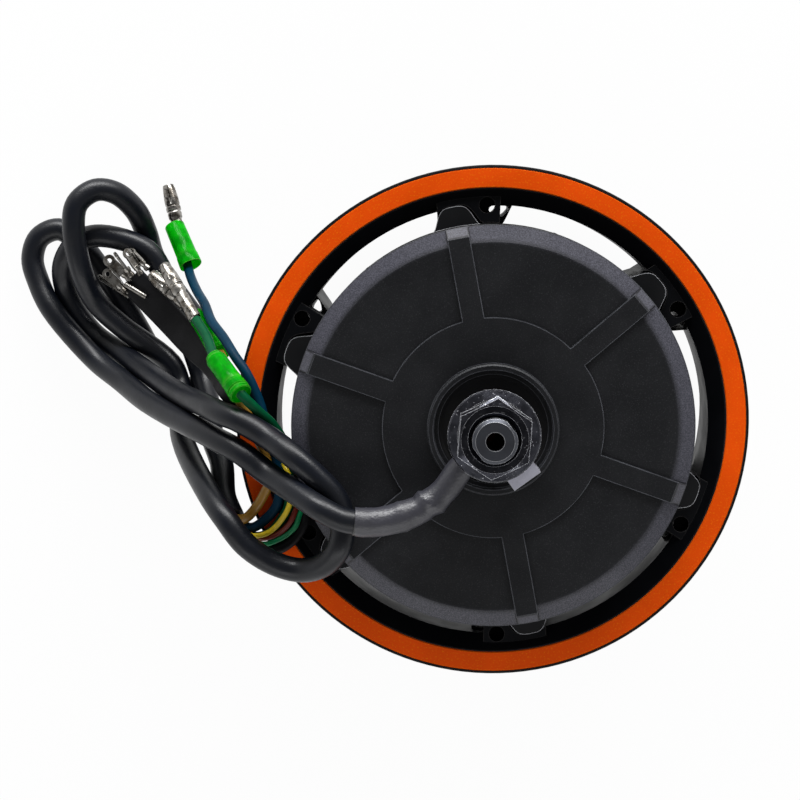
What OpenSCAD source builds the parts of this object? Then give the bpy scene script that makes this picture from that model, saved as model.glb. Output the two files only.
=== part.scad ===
// Hub motor of an electric scooter: a rim cast round its motor, on a fixed axle with a loose cable.
// The axle runs along +Z with its cable end up, and the origin is the centre of its lower end.

/* [Wheel] */
// Outside diameter of the rim's flanges
rim_od = 168; // [167.6:0.2:170]
// Width over the rim's two flanges
rim_w = 60; // [59:0.5:61]
// Height of the rim's lower side above the axle's lower end
rim_low = 6; // [5:0.5:7]
// Inner diameter of the orange face ring
ring_id = 153.3; // [152.8:0.1:153.6]
// Outer diameter of the orange face ring
ring_od = 166.2; // [165.8:0.1:166.4]
// Pitch circle of the rim's bolt holes
bolt_pcd = 142; // [141.5:0.5:142.5]
// Diameter of the rim's bolt holes
bolt_d = 5.2; // [4.6:0.1:5.4]
// Angle of the first rib and ear of the top cover
first_rib = 100.5; // [95:0.5:105]

/* [Motor] */
// Outside diameter of the motor's housing
housing_od = 129; // [128.5:0.5:129.5]
// Width of the ribs on the covers
rib_w = 7; // [5:0.5:9]
// Height of the ribs above the cover's face
rib_h = 1; // [0.6:0.1:1.2]
// Number of teeth on the stator
teeth = 27; // [24:3:27]
// Number of magnets in the rotor
magnet_count = 30; // [28:2:30]
// Outside diameter of the stator
stator_od = 105.2; // [104.8:0.1:105.4]
// Length of the stator's stack
stator_l = 26; // [24:0.5:26]

/* [Axle] */
// Length of the axle
axle_l = 118; // [118:0.5:121]
// Diameter of the axle's threaded ends
thread_d = 14; // [13.9:0.1:14.1]
// Diameter of the axle in its bearings
seat_d = 17; // [17:0.5:17]
// Distance between the two flats on each threaded end
flats = 13.1; // [12.6:0.1:13.4]
// Direction of the flats
flats_dir = 37; // [0:1:90]
// Width of the nuts across their flats
nut_af = 22; // [21:0.5:22]
// Direction in which the cable leaves the axle
exit_dir = 228; // [224:1:232]

/* [Cable] */
// Diameter of the main cable
cable_d = 8; // [7:0.1:8]
// Diameter of the sleeve where the cable leaves the axle
sleeve_d = 9.4; // [8.6:0.1:9.4]
// Diameter of the three phase wires
phase_d = 3.3; // [2.8:0.1:3.4]
// Diameter of the thin signal wires
thin_d = 1.8; // [1.4:0.1:2]

/* [Hidden] */
$fn = 96;
eps = 0.01;

black = [0.10, 0.10, 0.11];
steel = [0.62, 0.63, 0.65];
tin = [0.80, 0.80, 0.78];
copper = [0.72, 0.38, 0.20];

// Heights along the axle
rim_top = rim_low + rim_w;
pad_z = rim_top - 2;
ear_z = rim_top;
seam_z = 60;
block_low = 22;
web_low = 20;
web_top = 55;
pad_low = 55.5;
low_seam_z = 39;
cover_edge_z = 79.7;
cover_face_z = 82;
boss_z = 88;
low_boss_z = 28;
low_face_z = 35;
washer_z = 100;
washer_t = 2;
low_washer_z = 16;
exit_z = 95;
end_l = 4.4;

// Radii of the wheel
rim_r = rim_od / 2;
wall_r = 71;
housing_r = housing_od / 2;
housing_in = 60;
cover_r = 65;
disc_r = 35.5;
boss_r = 21;
recess_r = 19;
bearing_r = 17.5;
seat_r = seat_d / 2;
thread_r = thread_d / 2;
root_r = thread_r - 0.2;
bundle_r = 2;
ribs = 6;
pitch = 360 / ribs;

// Ears of the top cover, and the bridges that they are screwed to
ear_reach = 6.6;
ear_half = 6.9;
ear_gap = 0.3;
hole_turn = -9;
block_turn = -12.5;
block_left = 4.8;
ear_screw_r = 67.3;

// Point at a radius and an angle
function polar(r, a) = [r * cos(a), r * sin(a)];
// Share of an ear's reach at an angle from its middle
function hump(a) = abs(a) >= 1 ? 0 : (1 + cos(180 * a * a)) / 2;
// Radius of an ear's outline at an angle from its middle, with room added round it
function ear_r(a, room) = cover_r + room + ear_reach * hump(a / (ear_half + 3 * room));

module at_ribs(turn = 0) {
    for (k = [0:ribs - 1]) rotate(first_rib + turn + pitch * k) children();
}

// Sets its children at point a with their Z axis towards point b
module along(a, b) {
    d = b - a;
    translate(a) rotate([0, acos(d[2] / norm(d)), atan2(d[1], d[0])]) children();
}

// Section of the rim, from its flange round the well and back up the inner wall
module rim_section() {
    polygon([
        [wall_r, rim_top - 4], [ring_id / 2 - 0.45, rim_top - 0.3], [ring_id / 2 - 0.05, rim_top - 0.3],
        [ring_id / 2 - 0.05, rim_top - 1.1], [ring_od / 2 + 0.05, rim_top - 1.1],
        [ring_od / 2 + 0.05, rim_top], [rim_r - 0.5, rim_top], [rim_r - 0.15, rim_top - 0.15],
        [rim_r, rim_top - 0.5], [rim_r, rim_top - 4.8], [rim_r - 0.7, rim_top - 6],
        [rim_r - 3, rim_top - 7], [rim_r - 5.6, rim_top - 8], [rim_r - 6.4, rim_top - 9.5],
        [rim_r - 6.8, rim_top - 17], [rim_r - 8.4, rim_top - 20], [rim_r - 8.4, rim_low + 20],
        [rim_r - 6.8, rim_low + 17], [rim_r - 6.4, rim_low + 9.5], [rim_r - 5.6, rim_low + 8],
        [rim_r - 3, rim_low + 7], [rim_r - 0.7, rim_low + 6], [rim_r, rim_low + 4.8],
        [rim_r, rim_low + 1], [rim_r - 1, rim_low], [rim_r - 6, rim_low],
        [wall_r + 3.4, rim_low + 3], [wall_r + 3.4, rim_low + 7], [wall_r + 3.1, rim_low + 18],
        [wall_r, rim_low + 34],
    ]);
}

// Plan of one bridge, from its straight side by the bolt hole to the flank of the ear
module bridge_plan() {
    polygon(concat(
        [for (a = [block_turn:1.25:block_left]) polar(wall_r + 3.4, a)],
        [for (a = [block_left:0.5:6.3]) polar(ear_r(a, 0), a)],
        [for (a = [6.3:-1.25:block_turn]) polar(housing_in + 2, a)]
    ));
}

// Plan of the thin curved web beside a bridge
module web_plan() {
    polygon(concat(
        [for (s = [0:0.125:1]) polar(cover_r - 1 + 10.6 * (1 - cos(180 * s)) / 2, -12.6 - 5.2 * s)],
        [polar(wall_r + 3.4, block_turn + 1), polar(housing_in + 2, block_turn + 1),
         polar(housing_in + 2, -12.6)]
    ));
}

// Plan of the pocket that opens the web and reaches under the bolt hole
module pocket_plan() {
    polygon([
        polar(66.8, -12.4), polar(67.1, -13.2), polar(68, -14.1), polar(69.2, -14.9), polar(70, -15),
        polar(70.5, -14.6), polar(70.7, -13.8), polar(70.7, -11.2), polar(70.5, -10.2), polar(70, -9.7),
        polar(69.2, -9.5), polar(68.5, -9.8), polar(67.7, -10.6), polar(67.1, -11.6),
    ]);
}

module wheel_casting() {
    color(black)
    difference() {
        union() {
            rotate_extrude() rim_section();
            rotate_extrude() polygon([
                [housing_in, low_seam_z], [housing_r, low_seam_z], [housing_r, seam_z + 1],
                [housing_in, seam_z + 1],
            ]);
            at_ribs() translate([0, 0, block_low]) linear_extrude(pad_z - block_low) bridge_plan();
            at_ribs() translate([0, 0, web_low]) linear_extrude(web_top - web_low) web_plan();
        }
        // Room for the foot of the top cover and its ears
        translate([0, 0, seam_z]) linear_extrude(rim_w) union() {
            circle(r = cover_r + ear_gap);
            at_ribs() polygon(concat(
                [for (a = [-7.7:0.7:7.7]) polar(ear_r(a, ear_gap), a)], [polar(boss_r, 7), polar(boss_r, -7)]
            ));
        }
        // Room for the bottom cover under the bridges
        translate([0, 0, -eps]) cylinder(r = housing_r + ear_gap, h = low_seam_z + eps);
        at_ribs() translate([0, 0, web_low - 1]) linear_extrude(pad_low - web_low + 1) pocket_plan();
        at_ribs(hole_turn) translate([bolt_pcd / 2, 0, pad_low - 1]) cylinder(d = bolt_d, h = 20, $fn = 32);
        at_ribs() translate([ear_screw_r, 0, 0]) {
            cylinder(r = 3.75, h = 48, $fn = 32);
            cylinder(r = 2.1, h = rim_w + 2, $fn = 32);
        }
        at_ribs(pitch / 2) translate([62.2, 0, low_seam_z - eps]) cylinder(r = 1.5, h = 12, $fn = 24);
    }
}

module orange_ring() {
    color([0.87, 0.31, 0.02])
    rotate_extrude() polygon([
        [ring_id / 2, rim_top - 1.1], [ring_od / 2, rim_top - 1.1], [ring_od / 2, rim_top - 0.3],
        [ring_od / 2 - 0.3, rim_top], [ring_id / 2 + 0.3, rim_top], [ring_id / 2, rim_top - 0.3],
    ]);
}

// Raised disc and ribs on a cover's face, with their tops at height top
module cover_ribs(top, rib_end) {
    difference() {
        union() {
            translate([0, 0, top - rib_h - 0.5]) cylinder(r = disc_r, h = rib_h + 0.5);
            intersection() {
                at_ribs() rotate([90, 0, 0]) translate([0, 0, -rib_w / 2]) linear_extrude(rib_w)
                    polygon(rib_end);
                translate([0, 0, -axle_l]) cylinder(r = cover_r, h = 2 * axle_l);
            }
        }
        translate([0, 0, -axle_l]) cylinder(r = boss_r - 0.5, h = 2 * axle_l);
    }
}

module cover_top() {
    top = cover_face_z + rib_h;
    color(black)
    difference() {
        union() {
            rotate_extrude() polygon([
                [housing_in + 0.4, seam_z], [cover_r, seam_z], [cover_r, cover_edge_z],
                [59.5, cover_face_z], [boss_r, cover_face_z], [boss_r, boss_z - 0.4],
                [boss_r - 0.4, boss_z], [recess_r + 0.2, boss_z], [recess_r, boss_z - 0.3],
                [recess_r, 84.6], [bearing_r, 84.6], [bearing_r, 80], [bearing_r - 2, 80],
                [bearing_r - 2, 79], [bearing_r, 79], [bearing_r, 69], [bearing_r + 3.6, 69],
                [bearing_r + 4.4, 76.5], [bearing_r + 7.5, 79.5], [55, 79.5], [58.8, 78],
                [housing_in + 0.4, 74],
            ]);
            cover_ribs(top, [
                [30, 81], [30, top], [61.6, top], [cover_r, cover_edge_z + 0.1], [cover_r, 78], [60, 80],
            ]);
            at_ribs() translate([0, 0, seam_z]) linear_extrude(ear_z - seam_z) polygon(concat(
                [for (a = [-6.8:0.68:6.8]) polar(ear_r(a, 0), a)],
                [for (a = [6.8:-1.36:-6.8]) polar(cover_r - 2, a)]
            ));
        }
        at_ribs() translate([ear_screw_r, 0, seam_z - eps]) cylinder(r = 2, h = 5, $fn = 32);
    }
}

module cover_bottom() {
    top = rib_h - low_face_z;
    color(black)
    difference() {
        union() {
            rotate_extrude() polygon([
                [boss_r, low_face_z], [58, low_face_z], [59, 36], [63.5, 36], [housing_r, 37],
                [housing_r, low_seam_z], [housing_in - 0.05, low_seam_z], [housing_in - 0.05, 43],
                [57, 43], [56.4, 42], [55, 38.5], [bearing_r + 7, 38.5], [bearing_r + 4.4, 40],
                [bearing_r + 3.6, 47], [bearing_r, 47], [bearing_r, 37], [bearing_r - 2, 37],
                [bearing_r - 2, 36], [bearing_r, 36], [bearing_r, 31.4], [recess_r, 31.4],
                [recess_r, low_boss_z + 0.3], [recess_r + 0.2, low_boss_z], [boss_r - 0.4, low_boss_z],
                [boss_r, low_boss_z + 0.4],
            ]);
            mirror([0, 0, 1]) cover_ribs(top, [
                [30, top - 2], [30, top], [58, top], [59.5, top - 2],
            ]);
        }
        at_ribs(pitch / 2) translate([62.2, 0, 30]) cylinder(r = 1.65, h = 20, $fn = 24);
    }
}

// Socket screws, sunk in the bridges from below and held in the ears
module cover_screws_top() {
    color(steel)
    at_ribs() translate([ear_screw_r, 0, 0])
    difference() {
        union() {
            translate([0, 0, 44]) cylinder(r = 3.5, h = 4, $fn = 32);
            translate([0, 0, 48 - eps]) cylinder(r = 2, h = 16, $fn = 32);
        }
        translate([0, 0, 44 - eps]) cylinder(d = 3.5, h = 2, $fn = 6);
    }
}

// Button screws in the bottom cover's edge
module cover_screws_bottom() {
    color(steel)
    at_ribs(pitch / 2) translate([62.2, 0, 0])
    difference() {
        union() {
            rotate_extrude($fn = 32) polygon([
                [0, 34.4], [1.6, 34.4], [2.4, 35], [2.7, 35.7], [2.7, 36], [0, 36],
            ]);
            translate([0, 0, 36 - eps]) cylinder(r = 1.5, h = 13, $fn = 24);
        }
        translate([0, 0, 34]) cylinder(d = 2.3, h = 1.4, $fn = 6);
    }
}

module flux_ring() {
    color([0.35, 0.36, 0.38])
    translate([0, 0, 44]) difference() {
        cylinder(r = housing_in, h = 28);
        translate([0, 0, -1]) cylinder(r = 56, h = 30);
    }
}

module magnets() {
    color([0.72, 0.73, 0.75])
    for (k = [0:magnet_count - 1]) rotate(k * 360 / magnet_count)
        translate([0, 0, 45]) rotate_extrude(angle = 10) translate([53.3, 0]) square([2.7, 26]);
}

// Outer ring of a bearing that starts at height z
module bearing_outer(z) {
    color(steel)
    translate([0, 0, z]) rotate_extrude() difference() {
        polygon([
            [14.6, 0.3], [14.9, 0], [17.2, 0], [17.5, 0.3], [17.5, 9.7], [17.2, 10], [14.9, 10], [14.6, 9.7],
        ]);
        translate([13, 5]) circle(r = 2.43, $fn = 48);
    }
}

// Inner ring of a bearing that starts at height z
module bearing_inner(z) {
    color(steel)
    translate([0, 0, z]) rotate_extrude() difference() {
        polygon([
            [seat_r, 0.3], [8.8, 0], [11.1, 0], [11.4, 0.3],
            [11.4, 9.7], [11.1, 10], [8.8, 10], [seat_r, 9.7],
        ]);
        translate([13, 5]) circle(r = 2.43, $fn = 48);
    }
}

module bearing_balls(z) {
    color(tin)
    for (k = [0:9]) rotate(36 * k) translate([13, 0, z + 5]) sphere(r = 2.38, $fn = 32);
}

// Cage that spaces the balls
module bearing_cage(z) {
    color([0.55, 0.45, 0.25])
    translate([0, 0, z]) difference() {
        rotate_extrude() translate([12.2, 1.9]) square([1.6, 6.2]);
        for (k = [0:9]) rotate(36 * k) translate([11, 0, 5]) rotate([0, 90, 0])
            cylinder(r = 2.42, h = 4, $fn = 32);
    }
}

module bearing_top_outer() bearing_outer(69);
module bearing_bottom_outer() bearing_outer(37);
module bearing_top_inner() bearing_inner(69);
module bearing_bottom_inner() bearing_inner(37);
module bearing_top_balls() bearing_balls(69);
module bearing_bottom_balls() bearing_balls(37);
module bearing_top_cage() bearing_cage(69);
module bearing_bottom_cage() bearing_cage(37);

// Shaft seal with its lip just clear of the axle
module oil_seal(z, side) {
    color([0.16, 0.12, 0.10])
    translate([0, 0, z]) mirror([0, 0, side]) rotate_extrude() polygon([
        [bearing_r, 0], [bearing_r, 4.6], [bearing_r - 0.4, 4.6], [bearing_r - 1.2, 4.2], [10.4, 4.2],
        [9, 4.5], [seat_r + 0.05, 3.4], [seat_r + 0.05, 3], [9.6, 2], [10.4, 3.2], [15, 3.2], [15, 0],
    ]);
}

module oil_seal_top() oil_seal(80, 0);
module oil_seal_bottom() oil_seal(36, 1);

// Cuts the two flats on a threaded end between two heights
module thread_flats(low, high) {
    for (side = [0, 180]) rotate(flats_dir + side)
        translate([flats / 2, -3.4, low]) cube([1, 6.8, high - low]);
}

module axle() {
    color(steel)
    difference() {
        rotate_extrude() polygon([
            [0, 0], [thread_r - 1, 0], [thread_r, 1], [thread_r, end_l], [root_r, end_l],
            [root_r, low_washer_z + washer_t], [seat_r, low_washer_z + washer_t],
            [seat_r, 47], [11, 47], [11, 69], [seat_r, 69], [seat_r, washer_z],
            [root_r, washer_z], [root_r, axle_l - end_l], [thread_r, axle_l - end_l],
            [thread_r, axle_l - 1], [thread_r - 1, axle_l], [0, axle_l],
        ]);
        thread_flats(-1, low_washer_z + washer_t + 0.2);
        thread_flats(washer_z - 0.2, axle_l + 1);
        translate([0, 0, 61]) cylinder(r = 2.9, h = axle_l, $fn = 48);
        rotate(exit_dir) translate([0, 0, exit_z]) rotate([0, 90, 0]) cylinder(r = 3.9, h = 12, $fn = 48);
        rotate(exit_dir) translate([0, 0, 65.5]) rotate([0, 90, 0]) cylinder(r = 2.6, h = 14, $fn = 48);
    }
}

module stator_carrier() {
    color([0.66, 0.67, 0.69])
    translate([0, 0, 48]) difference() {
        union() {
            cylinder(r = 16, h = 14);
            difference() {
                cylinder(r = 36, h = 20);
                translate([0, 0, -1]) cylinder(r = 32.5, h = 22);
            }
            for (k = [0:5]) rotate(exit_dir + 30 + 60 * k) translate([14, -4, 1]) cube([19.5, 8, 12]);
        }
        translate([0, 0, -1]) cylinder(r = 11, h = 20);
    }
}

// Plan of the toothed laminations
module lamination() {
    difference() {
        circle(r = 41);
        circle(r = 36);
    }
    for (k = [0:teeth - 1]) rotate(k * 360 / teeth) translate([40, -1.8]) square([10.5, 3.6]);
    difference() {
        circle(d = stator_od);
        circle(r = 50);
        for (k = [0:teeth - 1]) rotate((k + 0.5) * 360 / teeth) translate([45, -1.2]) square([10, 2.4]);
    }
}

module stator_core() {
    color([0.45, 0.46, 0.48])
    translate([0, 0, 58 - stator_l / 2]) linear_extrude(stator_l) lamination();
}

// Rectangle with round corners, centred
module soft_rect(w, h, r) {
    square([w - 2 * r, h], center = true);
    square([w, h - 2 * r], center = true);
    for (x = [-1, 1], y = [-1, 1]) translate([x * (w / 2 - r), y * (h / 2 - r)]) circle(r = r, $fn = 24);
}

module windings() {
    color(copper)
    for (k = [0:teeth - 1]) rotate(k * 360 / teeth)
        translate([41.3, 0, 58]) rotate([90, 0, 90]) linear_extrude(8) difference() {
            soft_rect(8.6, stator_l + 5.6, 2.4);
            square([3.6, stator_l], center = true);
        }
}

module hall_board() {
    color([0.05, 0.30, 0.16])
    rotate(exit_dir - 35) translate([0, 0, 73.8]) rotate_extrude(angle = 70)
        translate([41, 0]) square([11, 1.2]);
}

module hall_sensors() {
    color(black)
    for (turn = [-26.7, 0, 26.7]) rotate(exit_dir + turn) translate([50, -2, 71]) cube([1.6, 4, 2.8]);
}

// Route helpers, for everything that bends
function unit(v) = v / norm(v);
function heading(p, i) = unit(p[min(i + 1, len(p) - 1)] - p[max(i - 1, 0)]);
function carried(n, t) = unit(n - (n * t) * t);
// Corner k of a ring round point i, wide across the route and high along its normal
function ring_point(p, t, n, half_w, half_h, turn) =
    p + half_h * cos(turn) * n + half_w * sin(turn) * cross(t, n);

// One tube swept along a route; each size is [half width, half height], or one pair for all
module swept(route, sizes, sides) {
    last = len(route) - 1;
    head = heading(route, 0);
    first = carried(abs(head[2]) < 0.9 ? [0, 0, 1] : [0, 1, 0], head);
    normals = [
        for (i = 0, n = first; i <= last; i = i + 1, n = carried(n, heading(route, min(i, last)))) n
    ];
    rings = [
        for (i = [0:last], k = [0:sides - 1])
        let (size = len(sizes) == 1 ? sizes[0] : sizes[i])
        ring_point(route[i], heading(route, i), normals[i], size[0], size[1], 360 * k / sides)
    ];
    faces = concat(
        [[for (k = [0:sides - 1]) k]],
        [for (i = [0:last - 1], k = [0:sides - 1]) let (a = i * sides + k, b = i * sides + (k + 1) % sides)
            each [[a, a + sides, b], [b, a + sides, b + sides]]],
        [[for (k = [sides - 1:-1:0]) last * sides + k]]
    );
    polyhedron(rings, faces);
}

module tube(route, r, sides) swept(route, [[r, r]], sides);

// Leads from the coils, over the carrier and up through the axle
exit_way = [cos(exit_dir), sin(exit_dir), 0];
function on_exit(r, z) = r * exit_way + [0, 0, z];
inner_route = [
    on_exit(46, 76.8), on_exit(40, 76.8), on_exit(34, 73.5), on_exit(28, 68.5), on_exit(22, 65.6),
    on_exit(10, 65.5), on_exit(3, 66.5), on_exit(0.4, 70), on_exit(0, 80), on_exit(0, 90),
    on_exit(1.2, 93.8), on_exit(5, 95), on_exit(8.8, 95),
];

module inner_leads() color([0.6, 0.1, 0.1]) tube(inner_route, 1.5, 8);

// Washer with a lug that keeps the axle from turning in a fork; its lug is bent towards the motor
module tab_washer(z, lug_dir, side) {
    color(steel)
    translate([0, 0, z]) difference() {
        union() {
            linear_extrude(washer_t) union() {
                circle(r = 13.6);
                rotate(lug_dir) translate([6, -5]) square([11.8, 10]);
            }
            rotate(lug_dir) translate([15.8, -5, side < 0 ? -4 : 0]) cube([2, 10, 4 + washer_t]);
        }
        translate([0, 0, -5]) linear_extrude(15) intersection() {
            circle(r = thread_r + 0.05);
            rotate(flats_dir) square([flats + 0.1, 30], center = true);
        }
    }
}

module tab_washer_top() tab_washer(washer_z, -54, -1);
module tab_washer_bottom() tab_washer(low_washer_z, 126, 1);

// Flange nut, with its flange down at height 0
module flange_nut() {
    color([0.75, 0.76, 0.78])
    difference() {
        union() {
            rotate_extrude() polygon([
                [0, 0], [14.3, 0], [14.6, 0.3], [14.6, 1.2], [14.2, 1.7], [11.5, 3.4], [0, 3.4],
            ]);
            intersection() {
                translate([0, 0, 1]) cylinder(r = nut_af / 2 / cos(30), h = 10, $fn = 6);
                rotate_extrude() polygon([[0, 0], [13.2, 0], [13.2, 9.4], [10.4, 11], [0, 11]]);
            }
        }
        translate([0, 0, -1]) cylinder(r = root_r + 0.04, h = 14);
        translate([0, 0, 9.8]) rotate_extrude() polygon([
            [0, 0], [root_r, 0], [8.3, 1.2], [8.3, 3], [0, 3],
        ]);
    }
}

module axle_nut_top() translate([0, 0, washer_z + washer_t]) rotate(30 - 4.5) flange_nut();
module axle_nut_bottom() translate([0, 0, low_washer_z]) mirror([0, 0, 1]) flange_nut();

module cable_grommet() {
    color(black)
    rotate(exit_dir) translate([3.2, 0, exit_z]) rotate([0, 90, 0]) difference() {
        cylinder(r = 3.9, h = 5.8, $fn = 48);
        translate([0, 0, -1]) cylinder(r = 1.9, h = 8, $fn = 32);
    }
}

// Route of the main cable from the axle: over the rim, then three slack loops beside the wheel
sleeve_route = [
    [-6, -6.7, 95], [-10.5, -11.5, 94.5], [-16.5, -19.5, 94], [-23.5, -24.5, 94.2], [-31.5, -27.5, 95],
    [-39.5, -28.5, 96], [-47.5, -27.5, 97],
];
jacket_route = [
    [-47.5, -27.5, 97], [-54, -24.5, 96], [-63, -20, 89], [-73, -15, 79.5], [-81.5, -9, 76.5],
    [-92.5, -4.5, 68], [-117, 3.5, 38], [-128.5, 9.5, 23], [-139.5, 16.5, 14], [-155, 33.5, 9.5],
    [-160, 42.5, 6], [-162.5, 51, 4.3], [-160, 58.5, 4.2], [-153, 61.5, 4.2], [-146.5, 57.5, 4.2],
    [-137, 45.5, 4.2], [-124, 24.5, 4.2], [-116, 8.5, 4.2], [-108.5, 4, 4.2], [-101, 9.5, 4.2],
    [-98.5, 18.5, 4.2], [-102.5, 26.5, 4.2], [-114.5, 43.5, 4.2], [-119.5, 52.5, 4.2], [-121.5, 60.5, 6.5],
    [-124.5, 68.5, 12], [-130.5, 74.5, 17.5], [-137, 75.5, 20.5], [-143, 71, 22.5], [-144.5, 63, 22.5],
    [-142.5, 47.5, 19.5], [-138.5, 36.5, 14.5], [-129.5, 27.5, 12.7], [-112.5, 14.5, 13],
    [-109.5, 7.5, 14], [-108, -0.5, 21.5], [-105.5, -9.5, 36.5], [-93, -24, 67.5], [-86.5, -31, 76.5],
    [-80, -39, 78], [-71, -45, 77.5], [-62, -47, 79], [-54, -44, 84.2], [-49, -37.5, 87.8],
    [-48, -30, 87.5], [-50, -22.5, 87.5], [-56, -15.5, 88], [-64, -8.5, 87], [-73, -3, 80.5],
    [-82.5, 2, 77.5], [-88, 3.5, 73.5], [-94.5, 5.2, 64.5], [-107, 7.5, 43], [-119.5, 12.5, 24],
    [-131.5, 18.5, 10], [-141, 24.5, 5], [-148, 33.5, 4.2], [-151, 42.5, 6], [-150, 50.5, 10],
    [-144.5, 57.5, 12.6], [-136.5, 59.5, 13], [-120.5, 54.5, 13.5], [-114.5, 45.5, 13], [-105.5, 22.5, 13],
    [-101.5, 10.5, 13.5], [-98, 0.5, 22], [-95.5, -8.5, 35], [-91, -16.5, 47.5], [-89, -26, 59],
    [-85.5, -32, 66],
];
yellow_route = [
    [-85.5, -32, 66], [-81.5, -32, 68], [-77.5, -28, 70], [-74.5, -23, 70.5], [-72.5, -18, 71],
    [-73.5, -12, 71.3], [-76.5, -5, 71.5], [-79.5, 2.5, 72], [-82.5, 8, 72], [-86, 14, 65.5],
    [-91, 22, 51.5], [-97, 29, 41], [-102, 33, 33], [-105, 36, 28.5],
];
blue_route = [
    [-85.5, -32, 66], [-79.5, -35, 67.5], [-74.5, -32, 69.5], [-70.5, -27, 70.5], [-69.5, -21, 71],
    [-69.5, -15, 71.3], [-71.5, -8, 71.3], [-74, 0, 71], [-76, 7, 70.5], [-80, 16, 70], [-84.5, 22, 66.5],
    [-88.5, 27, 60], [-93.5, 32, 51.5], [-97, 37, 40.5], [-101, 41, 29], [-104.5, 45.5, 18],
    [-106.5, 49.5, 11], [-108.5, 55.5, 8],
];
green_route = [
    [-85.5, -32, 66], [-78.5, -38, 67], [-72.5, -36, 69.5], [-68.5, -31, 70.5], [-66.5, -27, 71],
    [-66.5, -21, 71.8], [-66.5, -17, 72], [-67, -11, 72], [-68.5, -5, 72], [-71.5, 0, 73.5],
    [-76, 5, 77.5], [-81, 10.5, 80], [-86, 16, 76], [-91, 21.5, 67.5], [-94.5, 27, 56.5],
    [-99.5, 32.5, 46.5],
];
bundle_route = [
    [-85.5, -32, 66], [-78.5, -41, 66.5], [-71.5, -42, 68.7], [-66, -39, 69], [-62.5, -34, 69],
    [-61.5, -30, 69], [-62, -27, 69],
];
hall_route = [
    [-62, -27, 69], [-64, -22.5, 68.8], [-67, -16, 68.6], [-71, -9, 68.4], [-76, -1, 68.4],
    [-81.5, 6.5, 69], [-86.5, 11.5, 66.6], [-89.5, 13.5, 58], [-92, 15.5, 49], [-96.5, 18.5, 38],
    [-104, 23.5, 27], [-111.5, 30.5, 20], [-118.5, 37.5, 18.5], [-125.5, 44.5, 18],
];
// Half widths and half heights of the flat signal sleeve along its route
hall_sizes = [
    [2, 2], [2.2, 1.6], [2.6, 1.3], [3.8, 1.1], [4.6, 1], [4.6, 1], [4.6, 1], [4.6, 1], [4.6, 1], [4.8, 1],
    [5, 1], [5.4, 1], [5.4, 1], [5.4, 1],
];
thin_routes = [
    [[-85.5, -32, 66], [-79.5, -37, 70], [-73.5, -36, 72], [-68.5, -31, 73.5], [-66, -26, 74],
     [-65.5, -21, 74.5], [-66.5, -16, 74], [-69, -11.5, 70.5]],
    [[-85.5, -32, 66], [-77.5, -38, 69.5], [-71.5, -37, 71.5], [-66.5, -33, 72.5], [-64.5, -29, 72],
     [-63.5, -25, 70]],
    [[-85.5, -32, 66], [-76.5, -40, 69.5], [-69.5, -38, 71.5], [-64.5, -34, 72], [-63, -30, 71.5],
     [-62, -26.5, 70]],
];
thin_colors = [[0.85, 0.72, 0.08], [0.45, 0.12, 0.08], [0.05, 0.52, 0.32]];

// Ends of the bullet terminals, from the crimp to the tip
bullets = [
    [[-105, 36, 28.5], [-117.5, 46.5, 23]],
    [[-108.5, 55.5, 8], [-114, 77, 3]],
    [[-99.5, 32.5, 46.5], [-111.5, 50, 35]],
];
// Ends of the clear sleeves, from the end that grips the wire to the open end
sleeves = [
    [[-90.5, 21.5, 52.5], [-100, 33, 36]],
    [[-105.5, 47.5, 13], [-112, 61.5, 5.5]],
    [[-81, 10.5, 80], [-91, 21.5, 67.5]],
];
// Ends of the signal terminals, from the barrel to the tip of the tab
tabs = [
    [[-125.5, 44, 18], [-134, 52.5, 20.5]],
    [[-127, 40, 19], [-135, 47.5, 17]],
    [[-124.5, 45.5, 20.5], [-130.5, 54, 22.5]],
    [[-121.5, 46, 19], [-127, 55, 20.8]],
    [[-119, 48, 18.9], [-126, 55, 18.5]],
];

module cable_sleeve() color([0.42, 0.43, 0.46]) tube(sleeve_route, sleeve_d / 2, 12);
module cable_jacket() color(black) tube(jacket_route, cable_d / 2, 8);
module phase_wire_yellow() color([0.6, 0.45, 0.12]) tube(yellow_route, phase_d / 2, 8);
module phase_wire_blue() color([0.02, 0.2, 0.4]) tube(blue_route, phase_d / 2, 8);
module phase_wire_green() color([0.03, 0.42, 0.26]) tube(green_route, phase_d / 2, 8);
module signal_bundle() color(black) tube(bundle_route, bundle_r, 8);
module hall_sleeve() color(black) swept(hall_route, hall_sizes, 12);

module hall_wires() {
    for (k = [0:2]) color(thin_colors[k]) tube(thin_routes[k], thin_d / 2, 8);
}

// Crimped bullet: barrel, waist and a tapered head with a split
module bullet(length) {
    difference() {
        rotate_extrude($fn = 40) polygon([
            [0, 0], [2, 0], [2, length - 13], [1.5, length - 12], [1.5, length - 11], [2.3, length - 10.4],
            [2.5, length - 8.6], [2.2, length - 8.2], [2.2, length - 7.4], [2.5, length - 7],
            [1.8, length - 0.4], [1.4, length], [0, length],
        ]);
        translate([-0.25, -4, length - 6]) cube([0.5, 8, 10]);
    }
}

module bullet_terminals() {
    color(tin)
    for (b = bullets) along(b[0], b[1]) bullet(norm(b[1] - b[0]));
}

// Clear sleeve with a collar at the end that grips the wire
module bullet_sleeve(length) {
    rotate_extrude($fn = 48) polygon([
        [1.7, 0], [3.5, 0], [3.7, 0.4], [3.7, 2.4], [3.4, 2.8], [3.4, 6.5], [3.7, 7], [3.7, length],
        [2.9, length], [2.9, 6.5], [1.7, 4],
    ]);
}

module bullet_sleeves() {
    color([0.0, 0.7, 0.08])
    for (s = sleeves) along(s[0], s[1]) bullet_sleeve(norm(s[1] - s[0]));
}

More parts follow.
